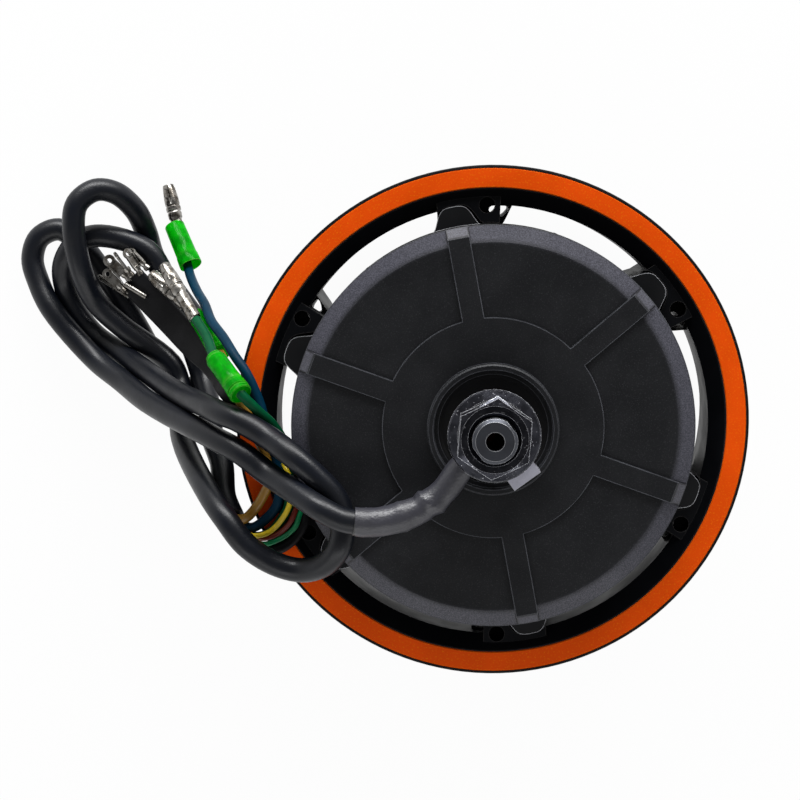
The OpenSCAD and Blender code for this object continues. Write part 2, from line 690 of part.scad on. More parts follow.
// Flat tab with a hole near its round tip, on a crimped barrel
module tab(length) {
    difference() {
        union() {
            translate([-0.4, -1.6, 3.6]) cube([0.8, 3.2, length - 5.2]);
            translate([-0.4, 0, length - 1.6]) rotate([0, 90, 0]) cylinder(r = 1.6, h = 0.8, $fn = 32);
            cylinder(r = 1.3, h = 4.2, $fn = 24);
        }
        translate([-2, 0, length - 2.2]) rotate([0, 90, 0]) cylinder(r = 0.7, h = 4, $fn = 24);
    }
}

module hall_terminals() {
    color(tin)
    for (t = tabs) along(t[0], t[1]) tab(norm(t[1] - t[0]));
}

wheel_casting();
orange_ring();
cover_top();
cover_bottom();
cover_screws_top();
cover_screws_bottom();
flux_ring();
magnets();
bearing_top_outer();
bearing_bottom_outer();
oil_seal_top();
oil_seal_bottom();
axle();
bearing_top_inner();
bearing_top_balls();
bearing_top_cage();
bearing_bottom_inner();
bearing_bottom_balls();
bearing_bottom_cage();
stator_carrier();
stator_core();
windings();
hall_board();
hall_sensors();
inner_leads();
tab_washer_top();
axle_nut_top();
tab_washer_bottom();
axle_nut_bottom();
cable_grommet();
cable_sleeve();
cable_jacket();
phase_wire_yellow();
phase_wire_blue();
phase_wire_green();
bullet_terminals();
bullet_sleeves();
signal_bundle();
hall_sleeve();
hall_wires();
hall_terminals();
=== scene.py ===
"""Looks, floor, light and camera for the hub motor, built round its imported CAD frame."""

import math

import bmesh
import bpy
from mathutils import Matrix, Vector


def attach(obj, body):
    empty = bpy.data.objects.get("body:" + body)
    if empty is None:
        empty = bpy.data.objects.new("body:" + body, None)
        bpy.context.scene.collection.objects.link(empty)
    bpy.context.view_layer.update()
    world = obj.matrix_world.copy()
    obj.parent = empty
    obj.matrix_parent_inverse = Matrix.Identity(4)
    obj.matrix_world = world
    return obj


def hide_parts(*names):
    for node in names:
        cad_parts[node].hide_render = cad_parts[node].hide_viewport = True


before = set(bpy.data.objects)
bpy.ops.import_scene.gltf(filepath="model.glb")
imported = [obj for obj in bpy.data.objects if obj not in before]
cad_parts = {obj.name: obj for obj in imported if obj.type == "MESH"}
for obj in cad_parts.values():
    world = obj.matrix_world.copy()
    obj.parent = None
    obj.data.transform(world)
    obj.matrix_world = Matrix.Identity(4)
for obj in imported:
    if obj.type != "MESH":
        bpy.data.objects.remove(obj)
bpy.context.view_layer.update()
scene = bpy.context.scene
AXLE = "axle_side"  # the body that the cable and all that is on it ride on

# heights on the cover and radii of its slanted rim, in millimetres
EAR_TOP, RIM_FOOT, RIB_TOP = 66, 77, 83
BEVEL_IN, BEVEL_OUT = 59.5, 65

STEPS = 6  # points of a smooth curve for each point of its route


def mm(point):
    """A point given in millimetres, in metres."""
    return Vector(point) / 1000


# ---------------------------------------------------------------- camera

def place_camera():
    """The photograph's view, fitted to its circles: almost straight down on the cable side of the wheel."""
    data = bpy.data.cameras.new("camera")
    camera = bpy.data.objects.new("camera", data)
    scene.collection.objects.link(camera)
    look = Vector((-0.0236, -0.1044, -0.9943)).normalized()
    right = look.cross(Vector((0, 1, 0))).normalized()
    camera.rotation_euler = Matrix((right, right.cross(look), -look)).transposed().to_euler()
    camera.location = mm((-13.7, 80.3, 761.2))
    data.lens = 95.96
    data.sensor_width = 36
    data.clip_start = 0.01
    scene.camera = camera


place_camera()


# ---------------------------------------------------------------- materials

def linear(r, g, b):
    """A screen colour from 0 to 255, as the linear colour that shaders take."""
    def channel(c):
        c /= 255
        return c / 12.92 if c <= 0.04045 else ((c + 0.055) / 1.055) ** 2.4
    return channel(r), channel(g), channel(b), 1.0


class Nodes:
    """Short ways to add and join shader nodes in one material."""

    def __init__(self, name):
        self.material = bpy.data.materials.new(name)
        self.material.use_nodes = True
        self.tree = self.material.node_tree
        self.tree.nodes.clear()
        self.out = self.tree.nodes.new("ShaderNodeOutputMaterial")
        self.place = self.tree.nodes.new("ShaderNodeTexCoord").outputs["Object"]

    def add(self, kind, **values):
        """A new node with the given settings."""
        node = self.tree.nodes.new(kind)
        for key, value in values.items():
            setattr(node, key, value)
        return node

    def feed(self, value, socket):
        """Joins an output to a socket, or sets the socket to a constant."""
        if isinstance(value, bpy.types.NodeSocket):
            self.tree.links.new(value, socket)
        else:
            socket.default_value = value

    def math(self, operation, a, b=0.0, clamp=False):
        """One sum of two values."""
        node = self.add("ShaderNodeMath", operation=operation, use_clamp=clamp)
        self.feed(a, node.inputs[0])
        self.feed(b, node.inputs[1])
        return node.outputs[0]

    def noise(self, size_mm, detail=3.0, rough=0.6):
        """Noise whose blobs are about size_mm across, from 0 to 1."""
        node = self.add("ShaderNodeTexNoise")
        self.feed(self.place, node.inputs["Vector"])
        node.inputs["Scale"].default_value = 1000 / size_mm
        node.inputs["Detail"].default_value = detail
        node.inputs["Roughness"].default_value = rough
        return node.outputs["Fac"]

    def ramp(self, value, low, high, start=0.0, end=1.0):
        """start below low, end above high, and a smooth way between."""
        node = self.add("ShaderNodeMapRange", interpolation_type="SMOOTHSTEP")
        self.feed(value, node.inputs["Value"])
        for name, v in (("From Min", low), ("From Max", high), ("To Min", start), ("To Max", end)):
            self.feed(v, node.inputs[name])
        return node.outputs[0]

    def mix(self, factor, a, b):
        """Mix of two colours."""
        node = self.add("ShaderNodeMix", data_type="RGBA")
        self.feed(factor, node.inputs[0])
        self.feed(a, node.inputs[6])
        self.feed(b, node.inputs[7])
        return node.outputs[2]

    def bump(self, height, distance_mm):
        """Normal of a surface with this relief."""
        node = self.add("ShaderNodeBump")
        self.feed(height, node.inputs["Height"])
        node.inputs["Distance"].default_value = distance_mm / 1000
        node.inputs["Strength"].default_value = 1.0
        return node.outputs["Normal"]

    def split(self):
        """The place's x, y and z."""
        node = self.add("ShaderNodeSeparateXYZ")
        self.feed(self.place, node.inputs[0])
        return node.outputs

    def radius(self):
        """Distance from the axle's line, in millimetres."""
        x, y, _ = self.split()
        squares = self.math("ADD", self.math("MULTIPLY", x, x), self.math("MULTIPLY", y, y))
        return self.math("MULTIPLY", self.math("SQRT", squares), 1000.0)

    def height(self):
        """Height above the axle's lower end, in millimetres."""
        return self.math("MULTIPLY", self.split()[2], 1000.0)

    def edges(self, reach_mm):
        """1 along an edge, 0 away from it; the reach is a number or an output in millimetres."""
        node = self.add("ShaderNodeBevel", samples=6)
        if isinstance(reach_mm, bpy.types.NodeSocket):
            self.feed(self.math("MULTIPLY", reach_mm, 0.001), node.inputs["Radius"])
        else:
            node.inputs["Radius"].default_value = reach_mm / 1000
        true = self.add("ShaderNodeNewGeometry").outputs["True Normal"]
        dot = self.add("ShaderNodeVectorMath", operation="DOT_PRODUCT")
        self.feed(node.outputs[0], dot.inputs[0])
        self.feed(true, dot.inputs[1])
        return self.ramp(dot.outputs["Value"], 0.995, 0.9)

    def surface(self, colour, rough, normal, metal=0.0, spec=0.5):
        """Ends the material with one shader."""
        shader = self.add("ShaderNodeBsdfPrincipled")
        self.feed(colour, shader.inputs["Base Color"])
        self.feed(rough, shader.inputs["Roughness"])
        self.feed(metal, shader.inputs["Metallic"])
        self.feed(spec, shader.inputs["Specular IOR Level"])
        self.feed(normal, shader.inputs["Normal"])
        self.feed(shader.outputs[0], self.out.inputs["Surface"])
        return self.material


def darker(colour, share):
    """The colour with each channel times share."""
    return [c * share for c in colour[:3]] + [1.0]


def bevel_band(n):
    """The cover's slanted rim, which shows paler than its face, as a painted sheen."""
    outer = n.ramp(n.radius(), BEVEL_IN - 0.9, BEVEL_IN + 1.7)
    lip = n.ramp(n.radius(), BEVEL_OUT - 0.3, BEVEL_OUT - 0.05, 1.0, 0.0)
    above = n.math("MULTIPLY", n.ramp(n.height(), RIM_FOOT, RIM_FOOT + 0.6),
                   n.ramp(n.height(), RIB_TOP - 0.9, RIB_TOP - 0.1, 1.0, 0.0))
    return n.math("MULTIPLY", n.math("MULTIPLY", outer, lip), above)


def paint(name, colour, rough, fleck_and_edge_glint, spec=0.3, edge_mm=0.3, grain_mm=0.35, grain=0.012, blotchy=1.2,
          speckle=0.35, band=None):
    """Sprayed paint on a casting: fine grain, soft blotches, pale flecks, and painted highlights along its
    edges.
    """
    n = Nodes(name)
    blotch = n.noise(14, 2.0)
    base = n.mix(n.ramp(blotch, 0.35, 0.7), colour, darker(colour, blotchy))
    fine = n.noise(grain_mm, 2.0, 0.5)
    base = n.mix(n.ramp(fine, 0.56, 0.72, 0.0, speckle), base, fleck_and_edge_glint)
    roughness = n.ramp(blotch, 0.3, 0.7, rough - 0.05, rough + 0.06)
    # edges are painted in the fleck colour, as a painted highlight
    line, reach = fleck_and_edge_glint, edge_mm
    if band:
        # the slanted rim's paler tone is a painted sheen, and the rim is smoother and speckled; edges that cross
        # it are wide and dark, other edges above the rim's foot get a grey painted highlight, and the ears below
        # it are black
        pale, speck, rib_edge_glint = band
        mask = bevel_band(n)
        base = n.mix(n.ramp(n.height(), EAR_TOP + 0.5, EAR_TOP + 4), linear(4, 5, 8), base)
        base = n.mix(mask, base, n.mix(n.ramp(fine, 0.38, 0.66), pale, speck))
        # edge colours: a bright painted highlight below the rim's foot, a grey painted highlight above it, dark
        # on the slanted rim
        line = n.mix(n.ramp(n.height(), RIM_FOOT, RIM_FOOT + 0.6), fleck_and_edge_glint, n.mix(mask, rib_edge_glint, linear(6, 6, 8)))
        reach = n.math("ADD", n.math("MULTIPLY", mask, 0.5), edge_mm)
        roughness = n.math("SUBTRACT", roughness, n.math("MULTIPLY", mask, 0.12))
    # edge mask, uneven in strength, that lays the painted edge colour on
    edge = n.math("MULTIPLY", n.edges(reach), n.ramp(n.noise(5), 0.3, 0.6, 0.6, 1.0))
    if band:
        edge = n.math("MULTIPLY", edge, n.math("ADD", n.math("MULTIPLY", mask, 2.0), 1.0), clamp=True)
    return n.surface(n.mix(edge, base, line), roughness, n.bump(fine, grain), spec=spec)


def metal(name, colour, rough, turned=False, edge=None):
    """Bare or plated steel with fine tool marks and a slightly uneven tone; edge, if given, is the colour of a
    painted highlight along its edges.
    """
    n = Nodes(name)
    blotch = n.noise(4, 3.0)
    base = n.mix(n.ramp(blotch, 0.3, 0.75, 0.0, 0.5), colour, darker(colour, 0.55))
    # painted highlight along the edges
    if edge:
        base = n.mix(n.edges(0.25), base, edge)
    if turned:
        marks = n.math("SINE", n.math("MULTIPLY", n.math("ADD", n.radius(), n.height()), 40.0))
    else:
        marks = n.noise(0.5, 4.0)
    roughness = n.ramp(blotch, 0.3, 0.7, rough - 0.06, rough + 0.1)
    return n.surface(base, roughness, n.bump(marks, 0.004), metal=1.0)


def polished(name):
    """Dark mirror of a plated nut, with bright specks and painted highlights along its edges."""
    n = Nodes(name)
    base = n.mix(n.ramp(n.noise(4, 2.0), 0.35, 0.65), linear(44, 45, 50), linear(60, 61, 67))
    pits = n.ramp(n.noise(0.9, 3.0), 0.64, 0.7)
    base = n.mix(pits, base, linear(190, 190, 196))
    # painted highlights along the edges, which are less metallic there
    edge = n.math("MULTIPLY", n.edges(0.4), n.ramp(n.noise(1.5), 0.3, 0.55, 0.55, 1.0))
    base = n.mix(edge, base, linear(225, 226, 232))
    metal_part = n.math("SUBTRACT", 1.0, n.math("MULTIPLY", edge, 0.8))
    roughness = n.ramp(n.noise(3), 0.3, 0.7, 0.1, 0.2)
    return n.surface(base, roughness, n.bump(n.noise(2.2, 2.0), 0.01), metal=metal_part)


def tinned(name):
    """Bright tin with brownish stains, dark scratches and painted highlights along its edges."""
    n = Nodes(name)
    base = n.mix(n.ramp(n.noise(2.4, 2.0), 0.36, 0.66), linear(158, 155, 150), linear(96, 90, 82))
    base = n.mix(n.ramp(n.noise(1.6, 2.0), 0.56, 0.7, 0.0, 0.8), base, linear(34, 31, 29))
    # painted highlights along the edges
    base = n.mix(n.math("MULTIPLY", n.edges(0.22), 0.6), base, linear(206, 205, 200))
    roughness = n.ramp(n.noise(2), 0.3, 0.7, 0.22, 0.38)
    return n.surface(base, roughness, n.bump(n.noise(1.2, 2.0), 0.004), metal=1.0)


def plastic(name, colour, rough, grain_mm=0.6, grain=0.01, spec=0.5, shaded_end_x=None):
    """Moulded or extruded plastic or rubber.

    shaded_end_x is the x, in millimetres, past which a sleeve's end gets a painted shadow.
    """
    n = Nodes(name)
    blotch = n.noise(9, 3.0)
    base = n.mix(n.ramp(blotch, 0.3, 0.7), colour, darker(colour, 0.7))
    if shaded_end_x is not None:
        # painted shadow line at a sleeve's end
        across = n.math("MULTIPLY", n.split()[0], 1000.0)
        base = n.mix(n.ramp(across, shaded_end_x - 0.2, shaded_end_x + 0.2, 1.0, 0.0), base, linear(3, 3, 4))
    normal = n.bump(n.noise(grain_mm, 2.0), grain)
    return n.surface(base, n.ramp(blotch, 0.3, 0.7, rough - 0.05, rough + 0.05), normal, spec=spec)


def clear_green():
    """Thin soft clear plastic: partly see-through, with a wet sheen and painted highlights along its edges."""
    n = Nodes("clear_green")
    shader = n.add("ShaderNodeBsdfPrincipled")
    base = n.mix(n.ramp(n.noise(3.6, 2.0), 0.35, 0.7), linear(0, 164, 16), linear(8, 206, 18))
    # painted highlights along the edges
    n.feed(n.mix(n.edges(0.35), base, linear(140, 252, 96)), shader.inputs["Base Color"])
    shader.inputs["Roughness"].default_value = 0.2
    shader.inputs["Specular IOR Level"].default_value = 0.12
    through = n.add("ShaderNodeBsdfTransparent")
    through.inputs["Color"].default_value = (0.01, 0.68, 0.01, 1)
    blend = n.add("ShaderNodeMixShader")
    blend.inputs[0].default_value = 0.55
    n.feed(shader.outputs[0], blend.inputs[1])
    n.feed(through.outputs[0], blend.inputs[2])
    n.feed(blend.outputs[0], n.out.inputs["Surface"])
    return n.material


# the band's colours are the slanted rim's painted sheen, its specks, and a grey painted highlight on rib edges
cover_paint = paint("cover_paint", linear(15, 16, 19), 0.5, fleck_and_edge_glint=linear(196, 197, 202), spec=0.26, edge_mm=0.42,
                    speckle=0.03, band=(linear(54, 54, 61), linear(80, 80, 89), linear(92, 94, 100)))
cast_paint = paint("cast_paint", linear(5, 6, 9), 0.45, fleck_and_edge_glint=linear(62, 60, 60), spec=0.1, speckle=0.04)
far_paint = paint("far_paint", linear(18, 18, 20), 0.5, fleck_and_edge_glint=linear(90, 92, 98), spec=0.25, speckle=0.1)
ring_paint = paint("ring_paint", linear(222, 74, 0), 0.55, fleck_and_edge_glint=linear(238, 122, 8), spec=0.08, grain_mm=0.6,
                   grain=0.006, blotchy=1.1, speckle=0.6)
steel = metal("ground_steel", linear(190, 192, 196), 0.28)
axle_steel = metal("axle_steel", linear(76, 78, 84), 0.46, turned=True, edge=linear(235, 236, 240))
nut_steel = polished("nut_steel")
washer_steel = metal("washer_steel", linear(214, 214, 228), 0.5, edge=linear(226, 227, 232))
screw_steel = metal("screw_steel", linear(165, 167, 172), 0.32)
laminations = metal("laminations", linear(120, 122, 126), 0.4)
nickel = metal("nickel", linear(205, 203, 198), 0.22)
tin_metal = tinned("tin_metal")
brass = metal("cage_brass", linear(190, 155, 80), 0.3)
aluminium = metal("cast_aluminium", linear(190, 192, 196), 0.42)
copper = metal("varnished_copper", linear(196, 112, 62), 0.3)
seal_rubber = plastic("seal_rubber", linear(10, 10, 12), 0.6, spec=0.2)
black_rubber = plastic("black_rubber", linear(22, 22, 24), 0.5)
board = plastic("board_varnish", linear(18, 92, 52), 0.3)
sensor = plastic("sensor_case", linear(24, 24, 25), 0.45)
red_lead = plastic("red_lead", linear(150, 34, 28), 0.4)
jacket_rubber = plastic("jacket_rubber", linear(9, 13, 22), 0.38, grain_mm=0.9, grain=0.05, spec=0.36)
sleeve_rubber = plastic("sleeve_rubber", linear(52, 52, 60), 0.42, grain_mm=0.9, grain=0.16, spec=0.7,
                        shaded_end_x=-43.6)
flat_sleeve = plastic("flat_sleeve", linear(11, 11, 15), 0.55, grain_mm=2.2, grain=0.08, spec=0.2)
blue_wire = plastic("blue_wire", linear(0, 46, 68), 0.45, spec=0.1)
green_wire = plastic("green_wire", linear(0, 78, 46), 0.45, spec=0.1)
gold_wire = plastic("gold_wire", linear(158, 116, 40), 0.36)
yellow_wire = plastic("yellow_wire", linear(232, 202, 24), 0.34)
brown_wire = plastic("brown_wire", linear(132, 42, 30), 0.34)
mint_wire = plastic("mint_wire", linear(0, 152, 92), 0.34)
green_clear = clear_green()


def dress(node, material):
    """Gives a CAD node its material."""
    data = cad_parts[node].data
    data.materials.clear()
    data.materials.append(material)


for names, look in (
    (("wheel_casting",), cast_paint), (("orange_ring",), ring_paint), (("cover_top",), cover_paint),
    (("cover_bottom",), far_paint), (("cover_screws_top", "cover_screws_bottom"), screw_steel),
    (("flux_ring", "stator_core"), laminations), (("magnets",), nickel),
    (("bearing_top_outer", "bearing_bottom_outer", "bearing_top_inner", "bearing_bottom_inner",
      "bearing_top_balls", "bearing_bottom_balls"), steel),
    (("bearing_top_cage", "bearing_bottom_cage"), brass), (("oil_seal_top", "oil_seal_bottom"), seal_rubber),
    (("axle",), axle_steel), (("stator_carrier",), aluminium), (("windings",), copper), (("hall_board",), board),
    (("hall_sensors",), sensor), (("inner_leads",), red_lead), (("cable_grommet",), black_rubber),
    (("tab_washer_top", "tab_washer_bottom"), washer_steel), (("axle_nut_top", "axle_nut_bottom"), nut_steel),
):
    for name in names:
        dress(name, look)


# ---------------------------------------------------------------- routes, as in the CAD source, in millimetres

SLEEVE = [
    (-6, -6.7, 95), (-10.5, -11.5, 94.5), (-16.5, -19.5, 94), (-23.5, -24.5, 94.2), (-31.5, -27.5, 95),
    (-39.5, -28.5, 96), (-47.5, -27.5, 97),
]
JACKET = [
    (-47.5, -27.5, 97), (-54, -24.5, 96), (-63, -20, 89), (-73, -15, 79.5), (-81.5, -9, 76.5),
    (-92.5, -4.5, 68), (-117, 3.5, 38), (-128.5, 9.5, 23), (-139.5, 16.5, 14), (-155, 33.5, 9.5),
    (-160, 42.5, 6), (-162.5, 51, 4.3), (-160, 58.5, 4.2), (-153, 61.5, 4.2), (-146.5, 57.5, 4.2),
    (-137, 45.5, 4.2), (-124, 24.5, 4.2), (-116, 8.5, 4.2), (-108.5, 4, 4.2), (-101, 9.5, 4.2),
    (-98.5, 18.5, 4.2), (-102.5, 26.5, 4.2), (-114.5, 43.5, 4.2), (-119.5, 52.5, 4.2), (-121.5, 60.5, 6.5),
    (-124.5, 68.5, 12), (-130.5, 74.5, 17.5), (-137, 75.5, 20.5), (-143, 71, 22.5), (-144.5, 63, 22.5),
    (-142.5, 47.5, 19.5), (-138.5, 36.5, 14.5), (-129.5, 27.5, 12.7), (-112.5, 14.5, 13), (-109.5, 7.5, 14),
    (-108, -0.5, 21.5), (-105.5, -9.5, 36.5), (-93, -24, 67.5), (-86.5, -31, 76.5), (-80, -39, 78),
    (-71, -45, 77.5), (-62, -47, 79), (-54, -44, 84.2), (-49, -37.5, 87.8), (-48, -30, 87.5),
    (-50, -22.5, 87.5), (-56, -15.5, 88), (-64, -8.5, 87), (-73, -3, 80.5), (-82.5, 2, 77.5), (-88, 3.5, 73.5),
    (-94.5, 5.2, 64.5), (-107, 7.5, 43), (-119.5, 12.5, 24), (-131.5, 18.5, 10), (-141, 24.5, 5),
    (-148, 33.5, 4.2), (-151, 42.5, 6), (-150, 50.5, 10), (-144.5, 57.5, 12.6), (-136.5, 59.5, 13),
    (-120.5, 54.5, 13.5), (-114.5, 45.5, 13), (-105.5, 22.5, 13), (-101.5, 10.5, 13.5), (-98, 0.5, 22),
    (-95.5, -8.5, 35), (-91, -16.5, 47.5), (-89, -26, 59), (-85.5, -32, 66),
]
YELLOW = [
    (-85.5, -32, 66), (-81.5, -32, 68), (-77.5, -28, 70), (-74.5, -23, 70.5), (-72.5, -18, 71),
    (-73.5, -12, 71.3), (-76.5, -5, 71.5), (-79.5, 2.5, 72), (-82.5, 8, 72), (-86, 14, 65.5), (-91, 22, 51.5),
    (-97, 29, 41), (-102, 33, 33), (-105, 36, 28.5),
]
BLUE = [
    (-85.5, -32, 66), (-79.5, -35, 67.5), (-74.5, -32, 69.5), (-70.5, -27, 70.5), (-69.5, -21, 71),
    (-69.5, -15, 71.3), (-71.5, -8, 71.3), (-74, 0, 71), (-76, 7, 70.5), (-80, 16, 70), (-84.5, 22, 66.5),
    (-88.5, 27, 60), (-93.5, 32, 51.5), (-97, 37, 40.5), (-101, 41, 29), (-104.5, 45.5, 18),
    (-106.5, 49.5, 11), (-108.5, 55.5, 8),
]
GREEN = [
    (-85.5, -32, 66), (-78.5, -38, 67), (-72.5, -36, 69.5), (-68.5, -31, 70.5), (-66.5, -27, 71),
    (-66.5, -21, 71.8), (-66.5, -17, 72), (-67, -11, 72), (-68.5, -5, 72), (-71.5, 0, 73.5), (-76, 5, 77.5),
    (-81, 10.5, 80), (-86, 16, 76), (-91, 21.5, 67.5), (-94.5, 27, 56.5), (-99.5, 32.5, 46.5),
]
BUNDLE = [
    (-85.5, -32, 66), (-78.5, -41, 66.5), (-71.5, -42, 68.7), (-66, -39, 69), (-62.5, -34, 69),
    (-61.5, -30, 69), (-62, -27, 69),
]
HALL = [
    (-62, -27, 69), (-64, -22.5, 68.8), (-67, -16, 68.6), (-71, -9, 68.4), (-76, -1, 68.4), (-81.5, 6.5, 69),
    (-86.5, 11.5, 66.6), (-89.5, 13.5, 58), (-92, 15.5, 49), (-96.5, 18.5, 38), (-104, 23.5, 27),
    (-111.5, 30.5, 20), (-118.5, 37.5, 18.5), (-125.5, 44.5, 18),
]
HALL_SIZES = [
    (2, 2), (2.2, 1.6), (2.6, 1.3), (3.8, 1.1), (4.6, 1), (4.6, 1), (4.6, 1), (4.6, 1), (4.6, 1), (4.8, 1),
    (5, 1), (5.4, 1), (5.4, 1), (5.4, 1),
]
THIN = [
    [(-85.5, -32, 66), (-79.5, -37, 70), (-73.5, -36, 72), (-68.5, -31, 73.5), (-66, -26, 74),
     (-65.5, -21, 74.5), (-66.5, -16, 74), (-69, -11.5, 70.5)],
    [(-85.5, -32, 66), (-77.5, -38, 69.5), (-71.5, -37, 71.5), (-66.5, -33, 72.5), (-64.5, -29, 72),
     (-63.5, -25, 70)],
    [(-85.5, -32, 66), (-76.5, -40, 69.5), (-69.5, -38, 71.5), (-64.5, -34, 72), (-63, -30, 71.5),
     (-62, -26.5, 70)],
]
BULLETS = [
    ((-105, 36, 28.5), (-117.5, 46.5, 23)),
    ((-108.5, 55.5, 8), (-114, 77, 3)),
    ((-99.5, 32.5, 46.5), (-111.5, 50, 35)),
]
CLEAR_COVERS = [
    ((-90.5, 21.5, 52.5), (-100, 33, 36)),
    ((-104.9, 49.2, 13.2), (-111.6, 62.9, 5.6)),
    ((-81, 10.5, 80), (-91, 21.5, 67.5)),
]


# ---------------------------------------------------------------- cables

def smooth(points):
    """Points of a smooth curve through the given points, in metres."""
    p = [mm(q) for q in points]
    p = [p[0] * 2 - p[1]] + p + [p[-1] * 2 - p[-2]]
    line = []
    for i in range(1, len(p) - 2):
        a, b, c, d = p[i - 1:i + 3]
        knots = [0.0]
        for u, v in ((a, b), (b, c), (c, d)):
            knots.append(knots[-1] + max((v - u).length, 1e-6) ** 0.5)
        t0, t1, t2, t3 = knots
        for k in range(STEPS):
            t = t1 + (t2 - t1) * k / STEPS
            ab = a * ((t1 - t) / (t1 - t0)) + b * ((t - t0) / (t1 - t0))
            bc = b * ((t2 - t) / (t2 - t1)) + c * ((t - t1) / (t2 - t1))
            cd = c * ((t3 - t) / (t3 - t2)) + d * ((t - t2) / (t3 - t2))
            abc = ab * ((t2 - t) / (t2 - t0)) + bc * ((t - t0) / (t2 - t0))
            bcd = bc * ((t3 - t) / (t3 - t1)) + cd * ((t - t1) / (t3 - t1))
            line.append(abc * ((t2 - t) / (t2 - t1)) + bcd * ((t - t1) / (t2 - t1)))
    line.append(p[-2])
    return line


def length_of(line):
    """Length along the line, in metres."""
    return sum((b - a).length for a, b in zip(line, line[1:]))


def cable(name, points, diameter_mm, material, rings=8):
    """A round cable as one open curve; returns it and its real length."""
    line = smooth(points)
    data = bpy.data.curves.new(name, "CURVE")
    data.dimensions = "3D"
    spline = data.splines.new("POLY")
    spline.points.add(len(line) - 1)
    for point, at in zip(spline.points, line):
        point.co = (*at, 1)
    spline.use_smooth = True
    data.bevel_depth = diameter_mm / 2000
    data.bevel_resolution = rings
    data.use_fill_caps = True
    data.materials.append(material)
    piece = bpy.data.objects.new(name, data)
    scene.collection.objects.link(piece)
    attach(piece, AXLE)
    return piece, length_of(line)


def swept(name, points, sizes, material, sides=24, rough=None):
    """A tube along points, with a half width and half height in millimetres at each; rough moves its surface."""
    line = smooth(points)
    sized = []
    for a, b in zip(sizes, sizes[1:]):
        sized += [[a[k] + (b[k] - a[k]) * s / STEPS for k in (0, 1)] for s in range(STEPS)]
    sized.append(sizes[-1])
    mesh = bmesh.new()
    rings, up = [], None
    for i, at in enumerate(line):
        ahead = (line[min(i + 1, len(line) - 1)] - line[max(i - 1, 0)]).normalized()
        start = up or (Vector((0, 0, 1)) if abs(ahead.z) < 0.9 else Vector((0, 1, 0)))
        up = (start - ahead * start.dot(ahead)).normalized()
        side = ahead.cross(up)
        wide, high = sized[i]
        ring = []
        for k in range(sides):
            turn = 2 * math.pi * k / sides
            grow = 1 + (rough(i, turn) if rough else 0)
            # a flat sleeve has nearly straight faces and tight round edges
            c, s = math.cos(turn), math.sin(turn)
            power = 0.55 if wide > 1.5 * high else 1.0
            c, s = math.copysign(abs(c) ** power, c), math.copysign(abs(s) ** power, s)
            ring.append(mesh.verts.new(at + (up * high * c + side * wide * s) * grow / 1000))
        rings.append(ring)
    for a, b in zip(rings, rings[1:]):
        for k in range(sides):
            mesh.faces.new((a[k], b[k], b[(k + 1) % sides], a[(k + 1) % sides]))
    mesh.faces.new(rings[0])
    mesh.faces.new(list(reversed(rings[-1])))
    return finished(name, mesh, material), line


def finished(name, mesh, material):
    """Turns a bmesh into a smooth piece with sharp edges, which rides on the axle's body."""
    bmesh.ops.recalc_face_normals(mesh, faces=mesh.faces)
    data = bpy.data.meshes.new(name)
    mesh.to_mesh(data)
    mesh.free()
    data.materials.append(material)
    for face in data.polygons:
        face.use_smooth = True
    data.set_sharp_from_angle(angle=math.radians(35))
    piece = bpy.data.objects.new(name, data)
    scene.collection.objects.link(piece)
    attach(piece, AXLE)
    return piece


def facing(a, b, up=(0, 0, 1)):
    """Matrix whose Z runs from a to b and whose X is as near to up as it can be."""
    z = (b - a).normalized()
    x = Vector(up) - z * Vector(up).dot(z)
    x = x.normalized() if x.length > 1e-6 else z.orthogonal().normalized()
    y = z.cross(x)
    return Matrix.Translation(a) @ Matrix((x, y, z)).transposed().to_4x4()


def lathe(mesh, place, profile, sides=32, slit_from=None):
    """Adds a turned form to a bmesh: profile is (radius, height) pairs in millimetres along place's Z.

    Beyond slit_from four narrow slits run along it, as in a spring contact.
    """
    def depth(k, height):
        slit = slit_from is not None and height > slit_from and k % (sides // 4) == 0
        return 0.8 if slit else 1.0

    rings = []
    for radius, height in profile:
        if radius <= 0:
            rings.append([mesh.verts.new(place @ Vector((0, 0, height / 1000)))])
            continue
        rings.append([
            mesh.verts.new(place @ (Vector((r * math.cos(t), r * math.sin(t), height)) / 1000))
            for r, t in ((radius * depth(k, height), 2 * math.pi * k / sides) for k in range(sides))
        ])
    for a, b in zip(rings, rings[1:]):
        for k in range(sides):
            n = (k + 1) % sides
            corners = [a[0] if len(a) == 1 else a[k], b[0] if len(b) == 1 else b[k],
                       b[0] if len(b) == 1 else b[n], a[0] if len(a) == 1 else a[n]]
            corners = list(dict.fromkeys(corners))
            if len(corners) > 2:
                mesh.faces.new(corners)


def sheath_wrinkle(i, turn):
    """Small folds along a shrunk sleeve, a raised ring where its outer layer starts, and a crease behind it."""
    def hill(middle, width):
        return math.exp(-((i - middle) / width) ** 2)

    slant = 1.2 * math.sin(turn)
    folds = 0.02 * math.sin(1.7 * i + 2.2 * math.sin(turn)) * math.sin(0.9 * i + turn)
    folds += 0.012 * math.sin(5 * turn + i)
    return folds + 0.16 * hill(15 + slant, 0.8) + 0.08 * hill(22, 1.0) - 0.07 * hill(17 + slant, 0.8)


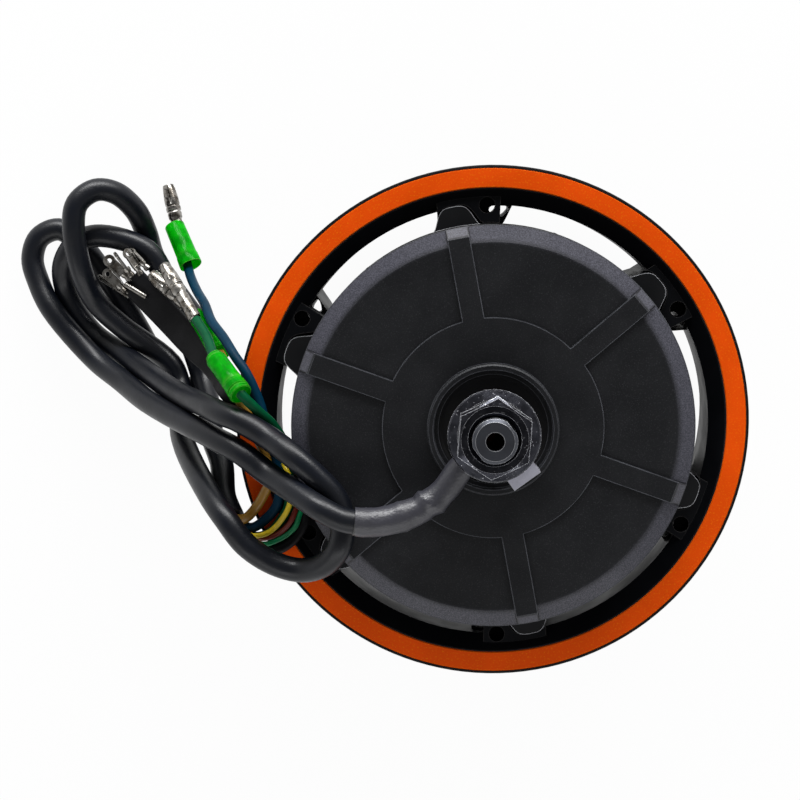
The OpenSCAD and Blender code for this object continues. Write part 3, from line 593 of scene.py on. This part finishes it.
def bullet(name, ends):
    """Crimped bullet terminal: folded crimp, grooves, and a split head that tapers to its tip."""
    a, b = mm(ends[0]), mm(ends[1])
    long = (b - a).length * 1000
    mesh = bmesh.new()
    place = facing(a, b)
    lathe(mesh, place, [
        (0, 0), (1.75, 0), (2.05, 0.3), (2.05, 1.6), (1.85, 2.0), (1.9, 2.6), (2.2, 3.0), (2.2, long - 14),
        (2.0, long - 13.4), (2.0, long - 12.8), (2.4, long - 12.2), (2.5, long - 10.4), (2.3, long - 10.1),
        (2.3, long - 9.7), (2.6, long - 9.4), (2.62, long - 8.2), (2.4, long - 7.9), (2.4, long - 7.5),
        (2.6, long - 7.2), (2.55, long - 5), (2.2, long - 1.5), (2.0, long - 0.3), (1.85, long), (1.35, long),
        (1.25, long - 0.3), (1.2, long - 4), (0, long - 4),
    ], 48, long - 7)
    # two crimp wings folded over the wire
    for side in (-1, 1):
        last = None
        for k in range(9):
            t = math.radians(side * (8 + 12 * k))
            across, along = (2.25 + 0.12 * math.sin(k)) * math.cos(t), 2.25 * math.sin(t)
            pair = [mesh.verts.new(place @ (Vector((across, along, z)) / 1000)) for z in (0.4, 3.0)]
            if last:
                mesh.faces.new((*last, *reversed(pair)))
            last = pair
    return finished(name, mesh, tin_metal)


def bullet_cover(name, ends, flared=False):
    """Clear sleeve on a bullet's wire: a plain flared tube, or a thick collar, a step and a thin open skirt."""
    a, b = mm(ends[0]), mm(ends[1])
    long = (b - a).length * 1000
    mesh = bmesh.new()
    if flared:
        profile = [
            (3.55, 0), (3.95, 0), (4.0, 0.4), (3.85, 3.8), (3.68, 4.2), (3.62, 8), (3.5, long - 0.3),
            (3.4, long), (3.0, long), (3.0, 4.8), (2.2, 4.3), (1.75, 3.4), (1.75, 2.8), (3.4, 2.4), (3.55, 0),
        ]
    else:
        profile = [
            (1.75, 0), (3.5, 0), (3.8, 0.3), (3.85, 1.4), (3.55, 1.7), (3.5, 2.0), (3.8, 2.4), (3.75, 4.6),
            (3.45, 5.0), (3.4, 5.6), (3.6, 6.0), (3.45, 9), (3.4, long - 1.7), (2.95, long - 1.1), (2.9, long),
            (2.5, long), (2.5, long - 0.9), (2.9, long - 1.9), (2.9, 7), (2.6, 6.4), (1.75, 4.5), (1.75, 0),
        ]
    lathe(mesh, facing(a, b), profile, 40)
    return finished(name, mesh, green_clear)


def ribbon(mesh, place, width, start, end, thick, rise=0.0):
    """Adds a flat bar along place's Z, centred on its Y; rise lifts it off the middle plane."""
    corners = [(x + rise, y) for x, y in ((thick / 2, -width / 2), (thick / 2, width / 2),
                                          (-thick / 2, width / 2), (-thick / 2, -width / 2))]
    rings = [[mesh.verts.new(place @ (Vector((x, y, z)) / 1000)) for x, y in corners] for z in (start, end)]
    for k in range(4):
        mesh.faces.new((rings[0][k], rings[0][(k + 1) % 4], rings[1][(k + 1) % 4], rings[1][k]))
    mesh.faces.new(rings[0])
    mesh.faces.new(list(reversed(rings[1])))


def tab(name, a, b, width, up=(0, 0, 1), walls=True, pins=()):
    """Stamped terminal: a crimped barrel, a tongue with turned-up sides, and a round eye at its end.

    Each pin is its start, its end and its radius.
    """
    barrel, thick, hole = 4.0, 0.6, 0.85
    a, b = mm(a), mm(b)
    long = (b - a).length * 1000
    place = facing(a, b, up)
    mesh = bmesh.new()
    half, eye, count = width / 2, long - width / 2, 32
    layers = []
    for x in (thick / 2, -thick / 2):
        loops = []
        for radius in (half, hole):
            loops.append([
                mesh.verts.new(place @ (Vector((x, radius * math.sin(t), eye + radius * math.cos(t))) / 1000))
                for t in (2 * math.pi * k / count for k in range(count))
            ])
        layers.append(loops)
    (top_out, top_in), (low_out, low_in) = layers
    for k in range(count):
        n = (k + 1) % count
        mesh.faces.new((top_out[k], top_out[n], top_in[n], top_in[k]))
        mesh.faces.new((low_out[n], low_out[k], low_in[k], low_in[n]))
        mesh.faces.new((top_out[n], top_out[k], low_out[k], low_out[n]))
        mesh.faces.new((top_in[k], top_in[n], low_in[n], low_in[k]))
    ribbon(mesh, place, width * 0.8, barrel - 0.4, eye - half * 0.6, thick)
    if walls:
        for side in (-1, 1):
            edge = place @ Matrix.Translation((0, side * width * 0.4 / 1000, 0))
            ribbon(mesh, edge, 0.4, barrel - 0.4, eye - half * 0.3, 0.9, 0.5)
    lathe(mesh, place, [
        (0, 0), (1.0, 0), (1.3, 0.3), (1.25, 1.2), (1.0, 1.7), (1.05, 2.3), (1.3, 2.7), (1.25, barrel - 0.2),
        (0, barrel),
    ], 20)
    for start, end, radius in pins:
        reach = (mm(end) - mm(start)).length * 1000
        lathe(mesh, facing(mm(start), mm(end)), [
            (0, 0), (radius * 0.9, 0.1), (radius, 0.5), (radius, reach - 0.4), (radius * 0.6, reach), (0, reach),
        ], 12)
    return finished(name, mesh, tin_metal)


# the shrunk sleeve ends a little before the CAD one, where the photograph shows its end
sheath_path = SLEEVE[:-1] + [(-44.2, -28, 96.6)]
sheath_sizes = [(half, half) for half in (4.1, 4.25, 4.3, 4.7, 4.75, 4.7, 4.6)]
sheath, _ = swept("cable_sheath", sheath_path, sheath_sizes, sleeve_rubber, 28, sheath_wrinkle)
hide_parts("cable_sleeve")
jacket, jacket_length = cable("cable", SLEEVE + JACKET[1:], 8, jacket_rubber, 10)
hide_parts("cable_jacket")

for key, points, look, slot, ends, cover in (
    ("yellow", YELLOW, gold_wire, "wire_yellow", BULLETS[0], CLEAR_COVERS[0]),
    ("blue", BLUE, blue_wire, "wire_blue", BULLETS[1], CLEAR_COVERS[1]),
    ("green", GREEN, green_wire, "wire_green", BULLETS[2], CLEAR_COVERS[2]),
):
    wire, wire_length = cable(f"phase_{key}", points, 3.3, look, 6)
    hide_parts(f"phase_wire_{key}")
    tip = bullet(f"bullet_{key}", ends)
    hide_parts("bullet_terminals")
    skirt = bullet_cover(f"bullet_cover_{key}", cover, flared=key == "blue")
    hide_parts("bullet_sleeves")

signal_path = BUNDLE + HALL[1:]
signal_sizes = [(2, 2)] * len(BUNDLE) + HALL_SIZES[1:]
signal, signal_line = swept("signal_lead", signal_path, signal_sizes, flat_sleeve, 32)
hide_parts("signal_bundle", "hall_sleeve")

tabs = [
    tab("tab_first", (-125.5, 44, 18), (-134, 52.5, 20.5), 4.2),
    tab("tab_second", (-127, 40, 19), (-135, 47.5, 17), 3.8, pins=(
        ((-127.5, 43, 19.6), (-119.5, 38.2, 20.4), 0.95),
        ((-126.3, 39.6, 17.5), (-137.4, 45.6, 14.2), 0.6),
        ((-126.4, 38.2, 17.2), (-137.2, 44.6, 13.8), 0.55),
    )),
    tab("tab_third", (-124.5, 45.5, 20.5), (-130.5, 54, 22.5), 3.0, up=(8.5, 6, 1), walls=False),
    tab("tab_fourth", (-121.5, 46, 19), (-127, 55, 20.8), 3.6, up=(0.6, 0.4, 0.9)),
    tab("tab_fifth", (-119, 48, 18.9), (-126, 55, 18.5), 3.2, up=(-0.5, -0.4, 1)),
]
for piece in tabs:
    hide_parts("hall_terminals")

for k, (points, look) in enumerate(zip(THIN, (yellow_wire, brown_wire, mint_wire))):
    wire, wire_length = cable(f"signal_wire_{k + 1}", points, 1.8, look, 5)
    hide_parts("hall_wires")


# ---------------------------------------------------------------- floor, light and world

def seen_rays(tree):
    """1 for rays that carry the background to the eye, straight or by way of metal and clear plastic."""
    path = tree.nodes.new("ShaderNodeLightPath")
    total = None
    for name in ("Is Camera Ray", "Is Glossy Ray", "Is Transmission Ray"):
        if total is None:
            total = path.outputs[name]
            continue
        node = tree.nodes.new("ShaderNodeMath")
        node.operation = "MAXIMUM"
        tree.links.new(total, node.inputs[0])
        tree.links.new(path.outputs[name], node.inputs[1])
        total = node.outputs[0]
    return total


def make_floor():
    """A pale floor that keeps the shadow and looks white to the camera."""
    bpy.ops.mesh.primitive_plane_add(size=6, location=(0, 0, -0.0002))
    floor = bpy.context.object
    floor.name = "floor"
    n = Nodes("floor_white")
    matt = n.add("ShaderNodeBsdfDiffuse")
    matt.inputs["Color"].default_value = (0.86, 0.86, 0.86, 1)
    glow = n.add("ShaderNodeEmission")
    glow.inputs["Color"].default_value = (1, 1, 1, 1)
    blend = n.add("ShaderNodeMixShader")
    n.feed(n.math("MULTIPLY", seen_rays(n.tree), 0.96), blend.inputs[0])
    n.feed(matt.outputs[0], blend.inputs[1])
    n.feed(glow.outputs[0], blend.inputs[2])
    n.feed(blend.outputs[0], n.out.inputs["Surface"])
    floor.data.materials.append(n.material)


def make_world():
    """A white room whose ceiling is dimmer than its walls."""
    world = bpy.data.worlds.new("room")
    scene.world = world
    world.use_nodes = True
    tree = world.node_tree
    tree.nodes.clear()
    place = tree.nodes.new("ShaderNodeTexCoord")
    parts = tree.nodes.new("ShaderNodeSeparateXYZ")
    tree.links.new(place.outputs["Generated"], parts.inputs[0])
    shade = tree.nodes.new("ShaderNodeMapRange")
    shade.interpolation_type = "SMOOTHSTEP"
    tree.links.new(parts.outputs[2], shade.inputs["Value"])
    for name, value in (("From Min", 0.1), ("From Max", 0.85), ("To Min", 0.85), ("To Max", 0.2)):
        shade.inputs[name].default_value = value
    glow = tree.nodes.new("ShaderNodeBackground")
    glow.inputs["Color"].default_value = (1, 1, 1, 1)
    tree.links.new(shade.outputs[0], glow.inputs["Strength"])
    out = tree.nodes.new("ShaderNodeOutputWorld")
    tree.links.new(glow.outputs[0], out.inputs["Surface"])


def lamp(name, at, size, watts):
    """A soft rectangular lamp that points at the motor."""
    aim = Vector((0, 0, 0.04))
    data = bpy.data.lights.new(name, "AREA")
    data.shape = "RECTANGLE"
    data.size, data.size_y = size
    data.energy = watts
    piece = bpy.data.objects.new(name, data)
    piece.location = at
    piece.rotation_euler = (aim - Vector(at)).to_track_quat("-Z", "Y").to_euler()
    scene.collection.objects.link(piece)


make_floor()
make_world()
lamp("key", (0.1, 1.3, 0.48), (1.6, 0.4), 33.0)
lamp("fill", (-0.1, -0.8, 0.75), (1.8, 0.5), 4.6)

scene.view_settings.view_transform = "Standard"
